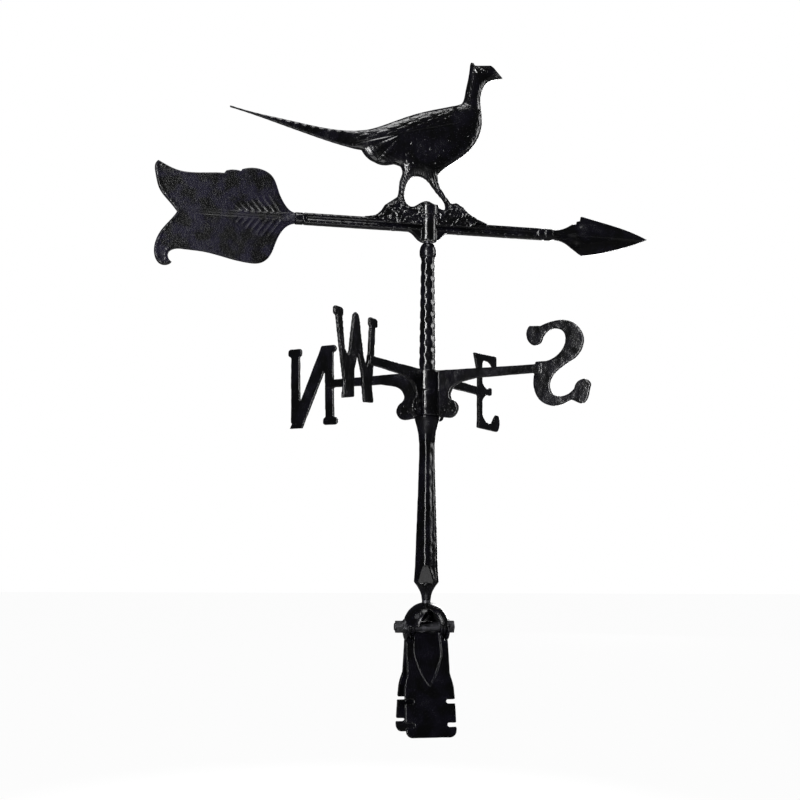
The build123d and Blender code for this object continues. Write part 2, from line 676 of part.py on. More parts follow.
with BuildPart() as arrow_pins:
    for x in (-shaft_back + tenon_l / 2, shaft_front - tenon_l / 2):
        with Locations((x, 0, arrow_z)):
            Cylinder(pin_r, 2 * ring_r - 2.4)
finish(arrow_pins.part, "arrow_pins")


# pheasant: one casting with the rough ground under its feet, which sits astride the shaft
def figure_points(points):
    base = arrow_z + shaft_h / 2
    return [(figure_scale * u, base + figure_scale * v) for u, v in points]


bird_back = [(-228, 118), (-200, 112), (-160, 106), (-120, 100.5), (-95, 99.5), (-75, 101.5),
             (-50, 110.5), (-10, 127.5), (10, 133.5), (38, 142)]
bird_nape = [(38, 142), (41, 146), (44, 158), (47.5, 175), (49.5, 189)]
bird_crown = [(49.5, 189), (50, 194), (53.5, 193.5), (54.5, 190.5), (74, 192.5), (78, 190), (89.5, 178)]
bird_throat = [(89.5, 178), (80, 176), (70, 171), (63, 159), (61.5, 146), (63.5, 124.5), (57, 99.5),
               (38, 77.5), (14, 59), (10.5, 55)]
shin_front = [(10.5, 55), (12.5, 44), (18, 33.5), (27, 22)]
ground_front = [(27, 22), (33, 23.5), (40, 19), (47, 11.5), (58, 5.5), (71, 0.3)]
ground_back = [(-76, 0.3), (-62, 3), (-56, 7), (-51, 15.5), (-44, 20.5), (-36, 26.5)]
shin_back = [(-36, 26.5), (-34.5, 35), (-33, 47), (-30.5, 55), (-32, 62), (-38, 66)]
bird_vent = [(-38, 66), (-50, 63), (-62, 65), (-70, 69.5), (-78, 78.5)]
bird_undertail = [(-78, 78.5), (-100, 82), (-130, 89.5), (-160, 98), (-200, 109.5), (-228, 116.5)]
leg_gap = [(-13, 52.5), (-20, 50), (-25, 43.5), (-28, 32.5), (-27, 21.5), (-21, 15.5), (-10, 20.5),
           (-2, 23.5), (8, 18.5), (19, 14.5), (20, 20), (15, 28.5), (7, 37.5), (-2, 48.5), (-13, 52.5)]
torso = [(-70, 99), (-45, 107), (-10, 121), (20, 130), (40, 140), (47, 160), (52, 184), (60, 189),
         (72, 189), (80, 181), (70, 175), (60, 168), (57, 146), (58, 124), (52, 102), (34, 80),
         (10, 60), (-12, 57), (-30, 62), (-50, 68), (-66, 76), (-74, 88)]
torso_half, tail_half, ground_half = 8.5, 3.5, 7.5

with BuildPart() as pheasant:
    with BuildSketch(Plane.XZ):
        with BuildLine():
            Spline(*figure_points(bird_back))
            Spline(*figure_points(bird_nape))
            Polyline(*figure_points(bird_crown))
            Spline(*figure_points(bird_throat))
            Spline(*figure_points(shin_front))
            Polyline(*figure_points(ground_front))
            Line(*figure_points([(71, 0.3), (-76, 0.3)]))
            Polyline(*figure_points(ground_back))
            Spline(*figure_points(shin_back))
            Spline(*figure_points(bird_vent))
            Spline(*figure_points(bird_undertail))
            Line(*figure_points([(-228, 116.5), (-228, 118)]))
        make_face()
        with BuildLine():
            Spline(*figure_points(leg_gap))
        make_face(mode=Mode.SUBTRACT)
    extrude(amount=tail_half * figure_scale, both=True)
    with BuildSketch(Plane.XZ):
        with BuildLine():
            Polyline(*figure_points(torso), close=True)
        make_face()
    extrude(amount=torso_half * figure_scale * 0.8, both=True)
    # ground: thicker, straddling the shaft and capping the hub
    with BuildSketch(Plane.XZ):
        with BuildLine():
            Polyline(*figure_points([(-62, 2), (-50, 14), (-40, 20), (-30, 20), (-22, 14), (-10, 19),
                                     (-2, 22), (8, 17), (20, 13), (30, 20), (40, 17), (58, 4)]),
                     (50 * figure_scale, arrow_z + 1), (-52 * figure_scale, arrow_z + 1), close=True)
        make_face()
    extrude(amount=ground_half, both=True)
    with Locations((0, 0, arrow_z + shaft_h / 2 + 2)):
        Cylinder(vane_hub_r + 2.0, vane_z + vane_hub_h + 3.0 - arrow_z - shaft_h / 2 - 2,
                 align=(Align.CENTER, Align.CENTER, Align.MIN))
    # room for the shaft, the hub and the two screws
    with BuildSketch(side.offset(-shaft_back)):
        with Locations((0, arrow_z)):
            RectangleRounded(shaft_t + 0.1, shaft_h + 0.1, 3.2)
        with Locations((0, arrow_z - shaft_h / 2)):
            Rectangle(shaft_t + 0.1, shaft_h)
    extrude(amount=2 * shaft_back, mode=Mode.SUBTRACT)
    with Locations((0, 0, vane_z)):
        Cylinder(vane_hub_r + 0.05, vane_hub_h + 0.1, align=(Align.CENTER, Align.CENTER, Align.MIN),
                 mode=Mode.SUBTRACT)
    for x in figure_screw_x:
        with Locations((x, 0, arrow_z)):
            Cylinder(figure_screw_r, shaft_h / 2 + 10.0, align=(Align.CENTER, Align.CENTER, Align.MIN),
                     mode=Mode.SUBTRACT)
finish(pheasant.part, "pheasant")

with BuildPart() as figure_screws:
    for x in figure_screw_x:
        with Locations((x, 0, arrow_z - shaft_h / 2 + 3.0)):
            Cylinder(figure_screw_r, shaft_h + 6.0, align=(Align.CENTER, Align.CENTER, Align.MIN))
        with Locations((x, 0, arrow_z - shaft_h / 2)):
            Cylinder(figure_screw_head_r, 3.0, align=(Align.CENTER, Align.CENTER, Align.MIN))
finish(figure_screws.part, "figure_screws")
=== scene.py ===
"""Weather vane: a pheasant on a turning arrow, compass letters, a tapered post and a hinged mount."""
import math

import bmesh
import bpy
import numpy as np
from mathutils import Matrix, Vector, kdtree, noise


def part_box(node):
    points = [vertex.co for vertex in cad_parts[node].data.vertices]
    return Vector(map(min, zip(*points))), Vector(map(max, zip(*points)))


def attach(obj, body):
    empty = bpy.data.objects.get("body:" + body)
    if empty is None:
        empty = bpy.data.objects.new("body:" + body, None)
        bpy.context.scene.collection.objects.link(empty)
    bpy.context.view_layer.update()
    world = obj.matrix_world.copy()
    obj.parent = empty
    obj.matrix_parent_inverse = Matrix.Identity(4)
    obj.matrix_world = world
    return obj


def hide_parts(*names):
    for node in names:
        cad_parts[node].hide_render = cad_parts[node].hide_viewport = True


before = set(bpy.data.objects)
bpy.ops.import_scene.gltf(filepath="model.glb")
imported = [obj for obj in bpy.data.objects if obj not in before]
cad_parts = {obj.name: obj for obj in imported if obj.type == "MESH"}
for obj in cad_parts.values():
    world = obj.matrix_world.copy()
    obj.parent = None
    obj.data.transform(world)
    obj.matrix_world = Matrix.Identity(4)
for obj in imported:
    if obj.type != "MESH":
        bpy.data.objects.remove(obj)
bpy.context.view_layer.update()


# ---------------------------------------------------------------- mount head
# The domed head that sits over the pivot bolt.  Sand cast aluminium, hollow, with a pointed arch front and
# back and a boss for the rod, then coated in gloss black like every casting of the vane.
class Shade:
    """One value in a finish: arithmetic on it adds the shader's own Math nodes."""

    def __init__(self, tree, socket):
        self.tree, self.socket = tree, socket

    def node(self, kind, settings, inputs, output=0):
        made = self.tree.nodes.new(kind)
        for key, value in settings.items():
            setattr(made, key, value)
        for key, value in inputs.items():
            if isinstance(value, Shade):
                self.tree.links.new(value.socket, made.inputs[key])
            else:
                made.inputs[key].default_value = value
        return Shade(self.tree, made.outputs[output])

    def sum(self, operation, first, second):
        return self.node("ShaderNodeMath", {"operation": operation}, {0: first, 1: second})

    def __add__(self, other):
        return self.sum("ADD", self, other)

    __radd__ = __add__

    def __sub__(self, other):
        return self.sum("SUBTRACT", self, other)

    def __rsub__(self, other):
        return self.sum("SUBTRACT", other, self)

    def __mul__(self, other):
        return self.sum("MULTIPLY", self, other)

    __rmul__ = __mul__

    def within(self, low, high):
        """0 below low, 1 above high, smooth between."""
        return self.node("ShaderNodeMapRange", {"interpolation_type": "SMOOTHSTEP"},
                         {"Value": self, "From Min": low, "From Max": high})


def black_coat(name, gloss, dimple, dimple_size, grain, sheen=1.0,
               tint=(0.0040, 0.0036, 0.0068, 1.0)):
    """Gloss black powder coat on a casting: dimples of the metal below, a fine grain, dusty worn patches.
    """
    coat = bpy.data.materials.new(name)
    coat.use_nodes = True
    shader = coat.node_tree.nodes["Principled BSDF"]
    start = Shade(coat.node_tree, None)
    place = start.node("ShaderNodeTexCoord", {}, {}, "Object")
    cloud = start.node("ShaderNodeTexNoise", {}, {"Vector": place, "Scale": 55.0, "Detail": 4.0})
    speck = start.node("ShaderNodeTexNoise", {}, {"Vector": place, "Scale": 900.0, "Detail": 3.0})
    cells = start.node("ShaderNodeTexVoronoi", {"feature": "SMOOTH_F1"},
                       {"Vector": place, "Scale": 1.0 / dimple_size, "Smoothness": 0.6})
    worn = cloud.within(0.56, 0.72) * speck.within(0.45, 0.7)
    colour = start.node("ShaderNodeMix", {"data_type": "RGBA"},
                        {0: cloud.within(0.4, 0.62), 6: (0.0022, 0.0022, 0.0024, 1.0), 7: tint}, 2)
    colour = start.node("ShaderNodeMix", {"data_type": "RGBA"},
                        {0: worn * 0.5, 6: colour, 7: (0.014, 0.014, 0.017, 1.0)}, 2)
    bump = start.node("ShaderNodeBump", {}, {"Strength": 0.6, "Distance": 0.0006,
                                             "Height": cells * dimple + speck * grain + cloud * 0.3})
    for value, socket in ((colour, "Base Color"), (bump, "Normal"),
                          (gloss + (cloud - 0.5) * 0.25 + worn * 0.2, "Roughness")):
        coat.node_tree.links.new(value.socket, shader.inputs[socket])
    shader.inputs["Specular IOR Level"].default_value = 0.5 * sheen
    shader.inputs["Coat Roughness"].default_value = 0.12
    shader.inputs["Coat Weight"].default_value = 0.35 * sheen
    return coat


def cast_skin(node, name, voxel, soften):
    """A copy of a CAD casting under an even skin, with its edges softened as casting does."""
    blank_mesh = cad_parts[node].data.copy()
    work = bmesh.new()
    work.from_mesh(blank_mesh)
    bmesh.ops.remove_doubles(work, verts=work.verts, dist=1e-6)
    work.to_mesh(blank_mesh)
    work.free()
    blank = bpy.data.objects.new(name + "_blank", blank_mesh)
    bpy.context.scene.collection.objects.link(blank)
    skin = blank.modifiers.new("skin", "REMESH")
    skin.mode = "VOXEL"
    skin.voxel_size = voxel
    ease = blank.modifiers.new("ease", "SMOOTH")
    ease.factor = 0.5
    ease.iterations = soften
    mesh = bpy.data.meshes.new_from_object(blank.evaluated_get(bpy.context.evaluated_depsgraph_get()))
    bpy.data.objects.remove(blank)
    mesh.materials.clear()
    mesh.shade_smooth()
    piece = bpy.data.objects.new(name, mesh)
    bpy.context.scene.collection.objects.link(piece)
    return piece


def read_skin(piece):
    """Places and facings of a piece's vertices, a row each."""
    mesh = piece.data
    place = np.empty(len(mesh.vertices) * 3)
    mesh.vertices.foreach_get("co", place)
    facing = np.empty(len(mesh.vertices) * 3)
    mesh.vertex_normals.foreach_get("vector", facing)
    return place.reshape(-1, 3), facing.reshape(-1, 3)


def write_skin(piece, place):
    piece.data.vertices.foreach_set("co", place.ravel())
    piece.data.update()


def unevenness(place, size, seed):
    """Smooth lumps of about that size, from -1 to 1, one value for each place."""
    return np.array([noise.noise(spot) for spot in (place / size + seed).tolist()])


def sand_cast(piece, size, depth, seed):
    """Leaves the slight lumps that a sand mould does."""
    place, facing = read_skin(piece)
    write_skin(piece, place + facing * (unevenness(place, size, seed) * depth)[:, None])


def fit_piece(piece, node, body, finish):
    """Stands the piece in for its CAD node, on its body, with its finish."""
    piece.data.materials.append(finish)
    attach(piece, body)
    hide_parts(node)


cast_black = black_coat("cast_black_coat", 0.2, 0.35, 0.0035, 0.40)
head_casting = cast_skin("mount_head", "mount_head_casting", 0.0006, 4)
sand_cast(head_casting, 0.006, 0.00015, 1.0)
mount_black = black_coat("mount_black_coat", 0.2, 0.35, 0.0035, 0.40, 0.6)
fit_piece(head_casting, "mount_head", "mount", mount_black)


# ---------------------------------------------------------------- legs
# Two equal castings, hinged on the bolt, each a strap with a leaf-shaped panel let into it and a foot with
# four open screw slots.  Cast aluminium with rounded edges, coated gloss black.
for node, body in (("front_leg", "leg_front"), ("back_leg", "leg_back")):
    leg_casting = cast_skin(node, node + "_casting", 0.0007, 3)
    sand_cast(leg_casting, 0.008, 0.0002, 3.0 if node == "front_leg" else 9.0)
    fit_piece(leg_casting, node, body, mount_black)


# ---------------------------------------------------------------- bolt, nut, washers and screws
# Bought steel fasteners, blackened: the pivot bolt with its nut and washers, the socket set screws, the
# screws into the bird and the pins of the arrow.
def blackened_steel(name, colour, gloss, scratch):
    """Blackened or bright steel with fine turning marks and handled patches."""
    steel = bpy.data.materials.new(name)
    steel.use_nodes = True
    shader = steel.node_tree.nodes["Principled BSDF"]
    start = Shade(steel.node_tree, None)
    place = start.node("ShaderNodeTexCoord", {}, {}, "Object")
    patch = start.node("ShaderNodeTexNoise", {}, {"Vector": place, "Scale": 140.0, "Detail": 5.0})
    marks = start.node("ShaderNodeTexNoise", {}, {"Vector": place, "Scale": 1500.0, "Detail": 2.0})
    rubbed = start.node("ShaderNodeMix", {"data_type": "RGBA"},
                        {0: patch.within(0.52, 0.7), 6: colour,
                         7: tuple(min(1.0, 2.2 * c + 0.01) for c in colour[:3]) + (1.0,)}, 2)
    bump = start.node("ShaderNodeBump", {}, {"Strength": 0.35, "Distance": 0.0002,
                                             "Height": marks * scratch})
    for value, socket in ((rubbed, "Base Color"), (bump, "Normal"),
                          (gloss + (patch - 0.5) * 0.3, "Roughness")):
        steel.node_tree.links.new(value.socket, shader.inputs[socket])
    shader.inputs["Metallic"].default_value = 0.85
    return steel


def refinish(nodes, finish):
    for node in nodes:
        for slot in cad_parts[node].material_slots:
            slot.material = finish


fastener_steel = blackened_steel("blackened_steel", (0.13, 0.13, 0.14, 1.0), 0.3, 1.0)
refinish(("pivot_bolt", "pivot_nut", "flat_washers", "lock_washer", "mast_set_screw", "collar_screw",
          "letter_screws", "figure_screws", "arrow_pins"), fastener_steel)


# ---------------------------------------------------------------- rod, clamp tube, sleeve and ball
# The steel rod through the whole post, the tube that the pivot bolt clamps, the nylon sleeve and the
# hardened ball that the vane turns on.  Only the rod shows, at the neck and at the hub.
refinish(("spindle_rod", "clamp_tube"), blackened_steel("rod_steel", (0.09, 0.09, 0.1, 1.0), 0.38, 2.0))
refinish(("pivot_ball",), blackened_steel("ball_steel", (0.6, 0.6, 0.62, 1.0), 0.16, 0.2))
nylon = blackened_steel("sleeve_nylon", (0.6, 0.6, 0.56, 1.0), 0.5, 0.5)
nylon.node_tree.nodes["Principled BSDF"].inputs["Metallic"].default_value = 0.0
refinish(("bearing_sleeve",), nylon)


# ---------------------------------------------------------------- lower post
# The tapered tube between mount and letters.  Cast aluminium, softly four-sided with an edge towards the
# front, a flat cut on that edge at the foot, a cone down to the neck and a flared collar at the top.
def turned(name, profile, steps):
    """A closed solid of revolution about the rod's axis from (radius, height) points in millimetres."""
    work = bmesh.new()
    ring = [work.verts.new((r / 1000, 0.0, z / 1000)) for r, z in profile]
    edges = [work.edges.new((a, b)) for a, b in zip(ring, ring[1:] + ring[:1])]
    bmesh.ops.spin(work, geom=ring + edges, cent=(0, 0, 0), axis=(0, 0, 1), angle=2 * math.pi,
                   steps=steps, use_merge=True)
    bmesh.ops.remove_doubles(work, verts=work.verts, dist=1e-7)
    bmesh.ops.recalc_face_normals(work, faces=work.faces)
    mesh = bpy.data.meshes.new(name)
    work.to_mesh(mesh)
    work.free()
    mesh.shade_smooth()
    piece = bpy.data.objects.new(name, mesh)
    bpy.context.scene.collection.objects.link(piece)
    return piece


def runs(points, step):
    """Points of a profile with its long stretches divided evenly."""
    line = []
    for (r0, z0), (r1, z1) in zip(points, points[1:]):
        parts = max(1, round(math.hypot(r1 - r0, z1 - z0) / step))
        line += [(r0 + (r1 - r0) * i / parts, z0 + (z1 - z0) * i / parts) for i in range(parts)]
    return line + [points[-1]]


def fade(value, start, end):
    """0 before start, 1 past end, smooth between."""
    t = np.clip((value - start) / (end - start), 0.0, 1.0)
    return t * t * (3.0 - 2.0 * t)


rod_bore = 4.9
post_low, post_high = (corner.z * 1000 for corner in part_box("lower_post"))
post_line = [(rod_bore, post_low), (5.5, post_low + 5), (7.0, post_low + 9.5), (9.6, post_low + 14),
             (13.0, post_low + 18.6), (13.7, post_low + 19.8), (13.5, post_low + 23), (12.6, post_low + 36),
             (11.2, post_low + 80), (9.7, post_low + 125), (8.8, post_high - 44), (8.8, post_high - 30),
             (9.8, post_high - 20), (11.5, post_high - 12), (13.5, post_high - 5), (14.4, post_high - 1.0),
             (14.1, post_high - 0.2), (13.6, post_high)]
post_bore = runs([(rod_bore, post_high), (rod_bore, post_low)], 8.0)[:-1]
post_casting = turned("lower_post_casting", runs(post_line, 1.1) + post_bore, 96)
post_turn = math.radians(-108)
place = read_skin(post_casting)[0]
radius = np.hypot(place[:, 0], place[:, 1])
turn = np.arctan2(place[:, 1], place[:, 0]) - post_turn
height = place[:, 2] * 1000
square = fade(height, post_low + 4, post_low + 18) * (1 - fade(height, post_high - 40, post_high - 12))
outside = fade(radius, 0.0049, 0.0056)
reach = radius * (1 - outside * square * 0.075 * (1 - np.cos(4 * turn)))
# flat on the front and the back edge, sloping in towards the foot
cut = 0.0117 - 0.0040 * np.clip((post_low + 36 - height) / 16.5, 0, 1.2)
flat = cut / np.maximum(np.abs(np.cos(turn)), 0.2)
near_foot = (height > post_low + 17.5) & (height < post_low + 36)
reach = np.where(near_foot & (radius > 0.006), np.minimum(reach, flat), reach)
hammer_depth = 0.00022
hammer = unevenness(place * np.array([1.0, 1.0, 0.6]), 0.0042, 20.0)
reach += outside * square * hammer * hammer_depth
place[:, 0] *= reach / radius
place[:, 1] *= reach / radius
write_skin(post_casting, place)
post_black = black_coat("post_black_coat", 0.22, 0.40, 0.006, 0.12, 0.55)
fit_piece(post_casting, "lower_post", "post", post_black)


# ---------------------------------------------------------------- compass letters
# Two castings, one with N and S and one with E and W.  Each has a ring on the rod, two arms, scroll
# brackets with three beads and a raised rim, and flat letters with rounded edges.
def beads(name, spots, size, body, finish):
    """Small half-sunk beads on a casting, each spot a place and a size along X, Y and Z."""
    work = bmesh.new()
    for centre, stretch in spots:
        place = Matrix.Translation(Vector(centre) / 1000) @ Matrix.Diagonal((*stretch, 1.0))
        bmesh.ops.create_icosphere(work, subdivisions=2, radius=size / 1000, matrix=place)
    mesh = bpy.data.meshes.new(name)
    work.to_mesh(mesh)
    work.free()
    mesh.shade_smooth()
    mesh.materials.append(finish)
    piece = bpy.data.objects.new(name, mesh)
    bpy.context.scene.collection.objects.link(piece)
    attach(piece, body)


for node, heading in (("letters_north_south", 139.0), ("letters_east_west", 49.0)):
    letter_casting = cast_skin(node, node + "_casting", 0.0008, 3)
    sand_cast(letter_casting, 0.007, 0.00022, heading)
    fit_piece(letter_casting, node, "post", cast_black)
    spots = []
    for side in (0.0, 180.0):
        a = math.radians(heading + side)
        out, across = Vector((math.cos(a), math.sin(a), 0)), Vector((-math.sin(a), math.cos(a), 0))
        for face in (-2.5, 2.5):
            for from_rod, rise in ((23.5, 352.0), (28.5, 358.5), (33.0, 351.0)):
                spots.append((out * from_rod + across * face + Vector((0, 0, rise)), (1.0, 1.0, 1.0)))
    beads(node + "_beads", spots, 1.5, "post", cast_black)


# ---------------------------------------------------------------- upper tube
# The tube between the letters and the vane, with a rounded cap.  Cast aluminium with a hammered pattern of
# staggered hollows all round, coated gloss black.
tube_low, tube_high = (corner.z * 1000 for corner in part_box("upper_tube"))
tube_line = [(9.4, tube_low), (8.0, tube_high - 17.5), (8.2, tube_high - 16.6), (9.1, tube_high - 15.4),
             (9.6, tube_high - 13), (9.65, tube_high - 9.5), (9.1, tube_high - 6), (7.8, tube_high - 2.6),
             (5.9, tube_high - 0.3), (rod_bore, tube_high)]
tube_bore = runs([(rod_bore, tube_high), (rod_bore, tube_low)], 8.0)[1:]
tube_casting = turned("upper_tube_casting", runs(tube_line, 0.9) + tube_bore, 72)
tube_turn = math.radians(-104)
hollow_pitch, hollow_depth = 6.8, 0.0007
place = read_skin(tube_casting)[0]
radius = np.hypot(place[:, 0], place[:, 1])
turn = np.arctan2(place[:, 1], place[:, 0]) - tube_turn
height = place[:, 2] * 1000 - tube_low
row = height / hollow_pitch
hollow = np.cos(4 * turn + math.pi * np.floor(row)) * np.sin(math.pi * (row - np.floor(row))) ** 0.7
below_cap = tube_high - tube_low - 17
plain = (1 - fade(height, below_cap - 4, below_cap)) * fade(radius, 0.0052, 0.006)
reach = radius - plain * (hollow_depth * (hollow > 0) * hollow + 0.00012 * unevenness(place, 0.003, 31.0))
place[:, 0] *= reach / radius
place[:, 1] *= reach / radius
write_skin(tube_casting, place)
hammered_black = black_coat("hammered_black_coat", 0.2, 0.6, 0.0042, 0.15)
fit_piece(tube_casting, "upper_tube", "post", hammered_black)


# ---------------------------------------------------------------- arrow shaft
# The middle casting of the vane: a bar with a groove along each side between two beaded rails, a hub for
# the bearing with a bowl below it, and ring collars where head and tail are pinned in.
shaft_casting = cast_skin("arrow_shaft", "arrow_shaft_casting", 0.0006, 2)
place, facing = read_skin(shaft_casting)
x, y, z = (place * 1000).T
arrow_z = (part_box("arrow_pins")[0].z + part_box("arrow_pins")[1].z) * 500
bar = (np.abs(facing[:, 1]) > 0.6) & (np.abs(y) > 4.6) & (np.abs(y) < 5.9) & (x > -140) & (x < 129)
groove_half, groove_depth = 1.7, 0.0011
channel = np.exp(-((z - arrow_z) / groove_half) ** 4)
place[:, 1] -= np.where(bar, np.sign(y) * groove_depth * channel, 0.0)
write_skin(shaft_casting, place)
sand_cast(shaft_casting, 0.005, 0.00012, 41.0)
fit_piece(shaft_casting, "arrow_shaft", "vane", cast_black)
bead_pitch = 8.7
spots = []
for face in (-5.2, 5.2):
    for row, drop in ((0.0, -3.9), (4.35, 4.1)):
        for i in range(32):
            along = -136.0 + bead_pitch * i + row
            if abs(along) > 13 and along < 127:
                spots.append(((along, face, arrow_z + drop), (1.35, 0.7, 0.85)))
beads("shaft_beads", spots, 1.25, "vane", cast_black)


# ---------------------------------------------------------------- arrow tail
# A double feather with a V-shaped end, pinned into the shaft.  Cast flat, with a quill down the middle,
# slanting barbs beside it near the neck, and a rounded edge all round.
def plate_edge(place, facing, half, inside=False):
    """Millimetres from each place to the nearest outer edge of a flat casting along the arrow."""
    rim = place[(np.abs(facing[:, 1]) < 0.5) & (np.abs(place[:, 1]) < half / 1000) & ~np.asarray(inside)]
    tree = kdtree.KDTree(len(rim))
    for i, spot in enumerate(rim):
        tree.insert((spot[0], 0.0, spot[2]), i)
    tree.balance()
    return np.array([tree.find((spot[0], 0.0, spot[2]))[2] for spot in place]) * 1000


def strokes(x, z, lines, width):
    """1 on each straight stroke (x0, z0, x1, z1), fading to 0 across its width."""
    mark = np.zeros(len(x))
    for x0, z0, x1, z1 in lines:
        length = math.hypot(x1 - x0, z1 - z0)
        along = ((x - x0) * (x1 - x0) + (z - z0) * (z1 - z0)) / length ** 2
        t = np.clip(along, 0, 1)
        gap = np.hypot(x - x0 - t * (x1 - x0), z - z0 - t * (z1 - z0))
        mark = np.maximum(mark, np.exp(-(gap / width) ** 2) * (0.35 + 0.65 * (1 - t)))
    return mark


tail_casting = cast_skin("arrow_tail", "arrow_tail_casting", 0.00055, 2)
place, facing = read_skin(tail_casting)
x, y, z = (place * 1000).T
edge = plate_edge(place, facing, 1.2)
across = z - arrow_z
body = 1.0 + 1.3 * np.sqrt(1 - (1 - np.clip(edge / 3.0, 0, 1)) ** 2)
nibbled = 0.45 + 0.55 * unevenness(np.stack([x, x * 0, z], 1), 3.2, 52.0)
body += nibbled * np.exp(-((edge - 2.4) / 2.0) ** 2) * fade(-x + 0.25 * np.abs(across), 276, 292)
body += 0.25 * unevenness(np.stack([x, x * 0, z], 1), 14.0, 50.0)
quill = np.exp(-((across - 2.2) / np.clip(2.6 - (-x - 160) * 0.012, 0.9, 3)) ** 2)
body += 1.2 * quill * (1 - 0.6 * fade(-x, 160, 285))
body -= 1.0 * np.exp(-((across + 1.2) / 1.4) ** 2) * (1 - fade(-x, 240, 285))
upper_barbs = [(-168.5 - 7.2 * i, 570.0 - 0.3 * i, -181.0 - 6.2 * i, 587.0 - 2.2 * i) for i in range(7)]
lower_barbs = [(-168.0 - 7.4 * i, 559.8, -183.0 - 5.6 * i, 538.5 + 2.8 * i) for i in range(7)]
barbs = strokes(x, z, upper_barbs + lower_barbs, 1.05)
ribs = strokes(x, z, [(a - 3.4, b, c - 3.4, d) for a, b, c, d in upper_barbs + lower_barbs], 1.6)
body += 0.8 * barbs - 0.25 * ribs
body += 0.06 * unevenness(np.stack([x, x * 0, z], 1), 2.6, 55.0)
shape = np.sign(y) * np.minimum(np.abs(y) / 1.8, 1.0) * body
mix = fade(-x, 158, 176)
place[:, 1] = (y * (1 - mix) + shape * mix) / 1000
write_skin(tail_casting, place)
grainy_black = black_coat("grainy_black_coat", 0.33, 0.3, 0.003, 1.4, 0.55, (0.0085, 0.0072, 0.019, 1.0))
fit_piece(tail_casting, "arrow_tail", "vane", grainy_black)


# ---------------------------------------------------------------- arrow head
# The barbed head, pinned into the front of the shaft.  Cast with a sharp middle ridge that falls away to
# thin edges, and a small hollow in each barb.
head_end = cast_skin("arrow_head", "arrow_head_casting", 0.0005, 2)
place, facing = read_skin(head_end)
x, y, z = (place * 1000).T
edge = plate_edge(place, facing, 1.2)
ridge_z = arrow_z + 0.6
slope = np.where(z > ridge_z, 0.27, 0.31)
body = 0.9 + np.minimum(slope * edge, 4.2)
body += 0.9 * np.exp(-((z - ridge_z) / 1.3) ** 2) * fade(x, 160, 175)
body -= 0.9 * np.exp(-((x - 176) / 3.0) ** 2 - ((z - 554.0) / 2.2) ** 2)
body -= 0.9 * np.exp(-((x - 182) / 3.6) ** 2 - ((z - 577.0) / 2.6) ** 2)
shape = np.sign(y) * np.minimum(np.abs(y) / 1.8, 1.0) * body
mix = fade(x, 152, 172)
place[:, 1] = (y * (1 - mix) + shape * mix) / 1000
write_skin(head_end, place)
fit_piece(head_end, "arrow_head", "vane", cast_black)


# ---------------------------------------------------------------- pheasant
# The bird and the rough ground it stands on, one casting in full relief on both sides: rounded body, long
# barred tail, wing feathers in rows, spotted breast, strong legs.  Screwed down astride the shaft.
def shingles(along, across, length, width):
    """Overlapping feathers in staggered rows: rises towards each tip and drops at its rounded end."""
    row = np.floor(across / width)
    t = across / width - row - 0.5
    s = along / length + 0.5 * np.mod(row, 2) + 0.8 * t * t
    s = s - np.floor(s)
    return s * (1 - fade(s, 0.9, 1.0)) * (1 - 1.6 * t * t)


bird = cast_skin("pheasant", "pheasant_casting", 0.0007, 2)
place, facing = read_skin(bird)
x, y, z = (place * 1000).T
# the channel for the shaft, the pocket for the hub and the two screw holes stay as they are
inside = (z < arrow_z + 7.6) & (np.abs(y) < 6.5)
inside |= (z < arrow_z + 24.0) & (np.hypot(x, y) < 11.0)
for screw_x in (-40.0, 36.0):
    inside |= (z < arrow_z + 17.5) & (np.hypot(x - screw_x, y) < 2.9)
edge = plate_edge(place, facing, 2.4, inside)
on_body = fade(x, -105, -45)
neck = fade(z, 700, 722) * fade(x, 25, 36)
shank = (1 - fade(z, 618, 634)) * fade(x, -50, -42)
soil = 1 - fade(z, 588, 596)
thick = 3.0 + 6.0 * on_body
round_off = 7.0 + 15.0 * on_body
thick, round_off = thick + (7.0 - thick) * neck, round_off + (9.0 - round_off) * neck
thick, round_off = thick + (4.2 - thick) * shank, round_off + (4.5 - round_off) * shank
thick, round_off = thick + (8.2 - thick) * soil, round_off + (6.0 - round_off) * soil
body = 0.9 + (thick - 0.9) * np.sqrt(1 - (1 - np.clip(edge / round_off, 0, 1)) ** 2)
body *= 1 - 0.55 * fade(x, 74, 90)
# wing
lean = math.radians(14.5)
shoulder_x, shoulder_z = 40, 688
along = -(x - shoulder_x) * math.cos(lean) - (z - shoulder_z) * math.sin(lean)
above = (z - shoulder_z) * math.cos(lean) - (x - shoulder_x) * math.sin(lean)
wing = fade(above, 0.0, 1.6) * fade(along, 2, 8) * (1 - fade(along, 118, 140)) * (1 - neck)
feather = shingles(along + 0.5 * above, above, 24.0, 3.7)
body += wing * (0.9 + (0.3 + 0.2 * fade(along, 5, 40)) * feather)
body += wing * 0.14 * np.sin(above * 4.2)
# breast and belly
breast = (1 - fade(above, -2.5, 0.0)) * fade(x, -40, -28) * (1 - shank) * (1 - soil) * (1 - neck)
body += breast * 0.5 * shingles(-x * 0.75 - z * 0.66, -x * 0.66 + z * 0.75, 8.5, 6.0)
for sx, sz in ((34, 679), (-6, 663), (-11, 656), (0, 653), (-4, 646), (-25, 646), (10, 646), (5, 637),
               (-22, 658), (22, 664), (44, 672), (18, 690), (32, 660), (16, 652)):
    body += 0.9 * np.exp(-((x - sx) ** 2 + (z - sz) ** 2) / 1.1)
